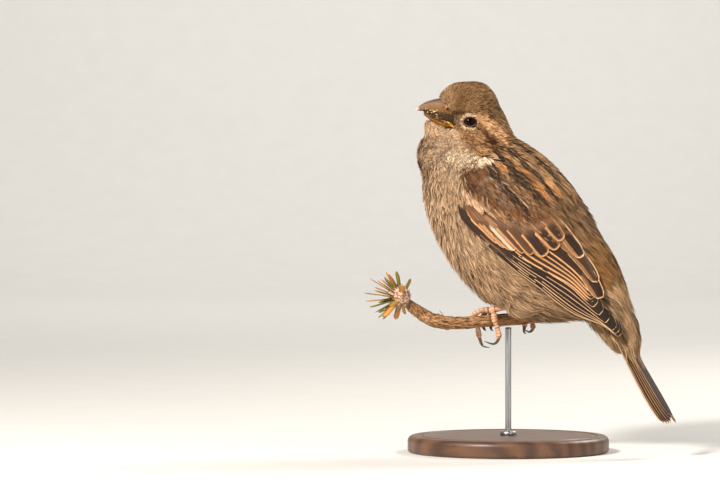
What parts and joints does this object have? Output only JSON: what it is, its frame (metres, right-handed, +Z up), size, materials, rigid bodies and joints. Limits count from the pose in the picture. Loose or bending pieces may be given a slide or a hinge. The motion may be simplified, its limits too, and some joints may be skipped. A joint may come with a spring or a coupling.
{
  "type": "house sparrow",
  "caption": "Life-size house sparrow hen, head turned, perched with both feet on a short cut twig that a plain rod holds over a round wooden base.",
  "frame": {"origin": "centre of the stand base's flat underside, on the surface it stands on", "axes": "+Z up; the bird's trunk faces -X and its left side is -Y, with the head turned 24 degrees to its left"},
  "size_m": [0.104, 0.0764, 0.1325],
  "materials": {
    "plumage_head": "matt drab brown feathers with a buff brow and a pale throat",
    "plumage_body": "matt grey-buff feathers, streaked black and buff on the back",
    "wing_feathers": "dark brown feathers with rufous and buff edges",
    "tail_feathers": "dark brown feathers with narrow buff edges",
    "bill_horn": "satin grey-brown horn",
    "bill_yellow": "satin yellow-brown horn",
    "eye": "wet, very dark brown",
    "leg_skin": "scaled pinkish-flesh skin",
    "claw": "dark horn",
    "bark": "weathered fibrous bark",
    "leaf": "matt olive and tan needles round a pale woolly bud",
    "stand_wood": "dark oiled wood",
    "stand_steel": "brushed"
  },
  "bodies": {
    "root": {"bill_lower": "bill_yellow", "bill_upper": "bill_horn", "claw_hind_left": "claw", "claw_hind_right": "claw", "claw_inner_left": "claw", "claw_inner_right": "claw", "claw_middle_left": "claw", "claw_middle_right": "claw", "claw_outer_left": "claw", "claw_outer_right": "claw", "eye_left": "eye", "eye_right": "eye", "foot_left": "leg_skin", "foot_right": "leg_skin", "head": "plumage_head", "neck": "plumage_body", "perch": "bark", "perch_tuft": "leaf", "primaries_left": "wing_feathers", "primaries_right": "wing_feathers", "stand_base": "stand_wood", "stand_rod": "stand_steel", "tail": "tail_feathers", "tarsus_left": "leg_skin", "tarsus_right": "leg_skin", "thigh_left": "plumage_body", "thigh_right": "plumage_body", "trunk": "plumage_body", "wing_left": "wing_feathers", "wing_right": "wing_feathers"}
  },
  "joints": []
}
